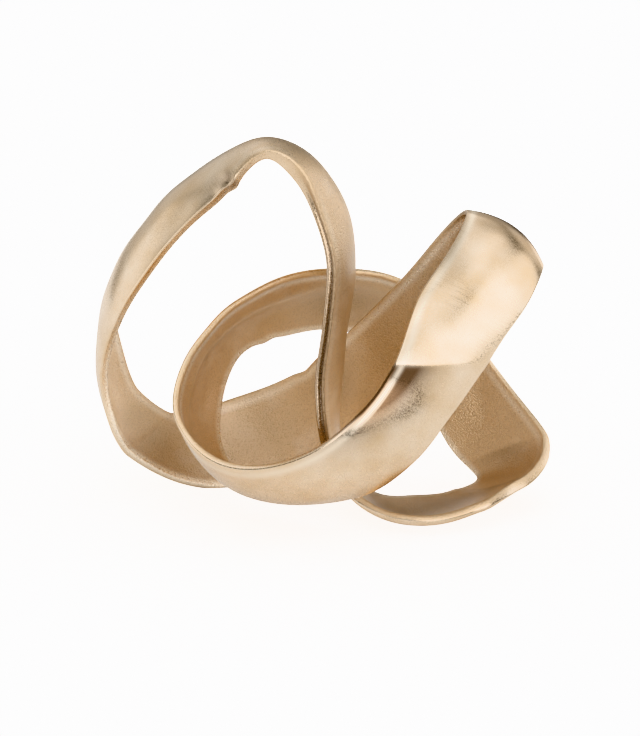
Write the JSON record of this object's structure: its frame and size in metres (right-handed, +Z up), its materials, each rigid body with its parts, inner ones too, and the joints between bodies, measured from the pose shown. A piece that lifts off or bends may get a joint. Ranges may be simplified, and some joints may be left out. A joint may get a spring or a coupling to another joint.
{
  "type": "table sculpture",
  "caption": "Free-standing abstract knot: a broad, thin metal band bent round into overlapping loops and closed on itself.",
  "frame": {"origin": "middle of the footprint of the bounding box, on the ground the knot stands on", "axes": "+Z up; X across the front, the widest way, +X to the viewer's right; +Y away from the viewer"},
  "size_m": [0.2184, 0.1221, 0.1746],
  "materials": {
    "cast_band": "champagne-gold, sand-cast grain with brushed and polished rims",
    "weld_bead": "champagne-gold, dressed flush with the castings"
  },
  "bodies": {
    "root": {"arch_top": "cast_band", "arch_left": "cast_band", "arch_heel": "cast_band", "cradle_strap": "cast_band", "rising_strap": "cast_band", "fold_bend": "cast_band", "front_face": "cast_band", "front_belly": "cast_band", "ring_left": "cast_band", "ring_back": "cast_band", "back_drop": "cast_band", "tail_corner": "cast_band", "base_strap": "cast_band", "leg_lower": "cast_band", "leg_upper": "cast_band", "weld_arch_shoulder": "weld_bead", "weld_arch_waist": "weld_bead", "weld_heel_crease": "weld_bead", "weld_cradle": "weld_bead", "weld_strap_high": "weld_bead", "weld_fold_front": "weld_bead", "weld_front_crease": "weld_bead", "weld_belly": "weld_bead", "weld_ring_left": "weld_bead", "weld_ring_back": "weld_bead", "weld_tail_top": "weld_bead", "weld_base_right": "weld_bead", "weld_base_left": "weld_bead", "weld_leg_middle": "weld_bead", "weld_leg_bend": "weld_bead"}
  },
  "joints": []
}
